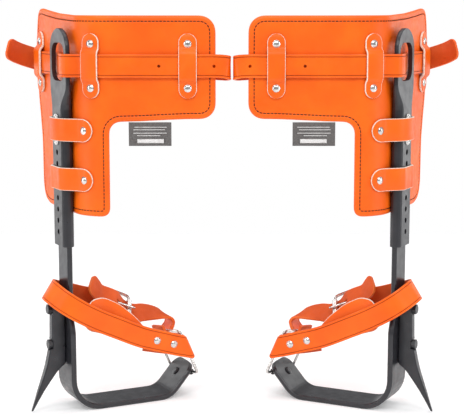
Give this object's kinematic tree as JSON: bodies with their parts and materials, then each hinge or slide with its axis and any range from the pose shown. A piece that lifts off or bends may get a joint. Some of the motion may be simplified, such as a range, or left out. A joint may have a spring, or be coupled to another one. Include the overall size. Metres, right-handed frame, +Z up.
{
  "type": "tree climbing spurs",
  "caption": "Pair of strap-on climbing spurs: bent steel shank and stirrup with a gaff, height-adjustable leg sleeve, padded leather calf wrap, and buckled calf and foot straps",
  "frame": {"origin": "Middle of the bounding box in X and Y, on the plane under both stirrup treads", "axes": "+X runs from the left climber to the right one, +Y away from the front of the calf pads, +Z up along the shanks"},
  "size_m": [0.5246, 0.1594, 0.4493],
  "materials": {
    "black_steel": "satin black powder coat",
    "bright_steel": "bright nickel plate",
    "orange_leather": "smooth finished leather with raw pale edges",
    "grey_cloth": "woven dark grey label cloth"
  },
  "bodies": {
    "left_base": {"left_stirrup_bar": "black_steel", "left_gaff": "black_steel", "left_gaff_bolt_1": "black_steel", "left_gaff_bolt_2": "black_steel", "left_ring_clip": "black_steel", "left_clip_rivet": "black_steel", "left_foot_strap": "orange_leather", "left_foot_rivet_1": "bright_steel", "left_foot_rivet_2": "bright_steel", "left_foot_billet": "orange_leather", "left_foot_buckle_frame": "bright_steel", "left_foot_shield": "orange_leather"},
    "left_upper": {"left_leg_sleeve": "black_steel", "left_height_screw_1": "bright_steel", "left_height_screw_2": "bright_steel", "left_calf_pad": "orange_leather", "left_pad_tag": "grey_cloth", "left_strap_keeper_a": "orange_leather", "left_strap_keeper_b": "orange_leather", "left_strap_keeper_c": "orange_leather", "left_shank_loop_upper": "orange_leather", "left_shank_loop_lower": "orange_leather", "left_calf_strap": "orange_leather", "left_calf_buckle_frame": "bright_steel"},
    "left_ring": {"left_strap_ring": "bright_steel"},
    "left_calf_prong": {"left_calf_buckle_prong": "bright_steel"},
    "left_calf_roller": {"left_calf_buckle_roller": "bright_steel"},
    "left_foot_prong": {"left_foot_buckle_prong": "bright_steel"},
    "left_foot_roller": {"left_foot_buckle_roller": "bright_steel"},
    "right_base": {"right_stirrup_bar": "black_steel", "right_gaff": "black_steel", "right_gaff_bolt_1": "black_steel", "right_gaff_bolt_2": "black_steel", "right_ring_clip": "black_steel", "right_clip_rivet": "black_steel", "right_foot_strap": "orange_leather", "right_foot_rivet_1": "bright_steel", "right_foot_rivet_2": "bright_steel", "right_foot_billet": "orange_leather", "right_foot_buckle_frame": "bright_steel", "right_foot_shield": "orange_leather"},
    "right_upper": {"right_leg_sleeve": "black_steel", "right_height_screw_1": "bright_steel", "right_height_screw_2": "bright_steel", "right_calf_pad": "orange_leather", "right_pad_tag": "grey_cloth", "right_strap_keeper_a": "orange_leather", "right_strap_keeper_b": "orange_leather", "right_strap_keeper_c": "orange_leather", "right_shank_loop_upper": "orange_leather", "right_shank_loop_lower": "orange_leather", "right_calf_strap": "orange_leather", "right_calf_buckle_frame": "bright_steel"},
    "right_ring": {"right_strap_ring": "bright_steel"},
    "right_calf_prong": {"right_calf_buckle_prong": "bright_steel"},
    "right_calf_roller": {"right_calf_buckle_roller": "bright_steel"},
    "right_foot_prong": {"right_foot_buckle_prong": "bright_steel"},
    "right_foot_roller": {"right_foot_buckle_roller": "bright_steel"}
  },
  "joints": [
    {"name": "pair_spacing", "type": "slide", "parent": "left_base", "child": "right_base", "axis": [1, 0, 0], "range_m": [0, 0.15]},
    {"name": "left_leg_extend", "type": "slide", "parent": "left_base", "child": "left_upper", "axis": [0, 0, 1], "range_m": [0, 0.1016]},
    {"name": "left_ring_swing", "type": "hinge", "parent": "left_base", "child": "left_ring", "pos_m": [-0.05561, 0.02967, 0.0248], "axis": [-0.5628, 0.8116, -0.1569], "range_deg": [-12, 15], "deforming": ["left_foot_strap", "left_foot_billet"]},
    {"name": "left_calf_prong_lift", "type": "hinge", "parent": "left_upper", "child": "left_calf_prong", "pos_m": [-0.211, 0.0662, 0.3884], "axis": [0, 0, 1], "range_deg": [0, 20]},
    {"name": "left_calf_roller_spin", "type": "hinge", "parent": "left_upper", "child": "left_calf_roller", "pos_m": [-0.18628, 0.05814, 0.3884], "axis": [0, 0, -1], "continuous": true},
    {"name": "left_foot_prong_lift", "type": "hinge", "parent": "left_base", "child": "left_foot_prong", "pos_m": [-0.1413, 0.00319, 0.1145], "axis": [0.0264, -0.7362, -0.6762], "range_deg": [0, 20]},
    {"name": "left_foot_roller_spin", "type": "hinge", "parent": "left_base", "child": "left_foot_roller", "pos_m": [-0.12019, 0.01386, 0.10371], "axis": [-0.0264, 0.7362, 0.6762], "continuous": true},
    {"name": "right_leg_extend", "type": "slide", "parent": "right_base", "child": "right_upper", "axis": [0, 0, 1], "range_m": [0, 0.1016]},
    {"name": "right_ring_swing", "type": "hinge", "parent": "right_base", "child": "right_ring", "pos_m": [0.05561, 0.02967, 0.0248], "axis": [-0.5628, -0.8116, 0.1569], "range_deg": [-12, 15], "deforming": ["right_foot_strap", "right_foot_billet"]},
    {"name": "right_calf_prong_lift", "type": "hinge", "parent": "right_upper", "child": "right_calf_prong", "pos_m": [0.211, 0.0662, 0.3884], "axis": [0, 0, -1], "range_deg": [0, 20]},
    {"name": "right_calf_roller_spin", "type": "hinge", "parent": "right_upper", "child": "right_calf_roller", "pos_m": [0.18628, 0.05814, 0.3884], "axis": [0, 0, 1], "continuous": true},
    {"name": "right_foot_prong_lift", "type": "hinge", "parent": "right_base", "child": "right_foot_prong", "pos_m": [0.1413, 0.00319, 0.1145], "axis": [0.0264, 0.7362, 0.6762], "range_deg": [0, 20]},
    {"name": "right_foot_roller_spin", "type": "hinge", "parent": "right_base", "child": "right_foot_roller", "pos_m": [0.12019, 0.01386, 0.10371], "axis": [-0.0264, -0.7362, -0.6762], "continuous": true}
  ]
}
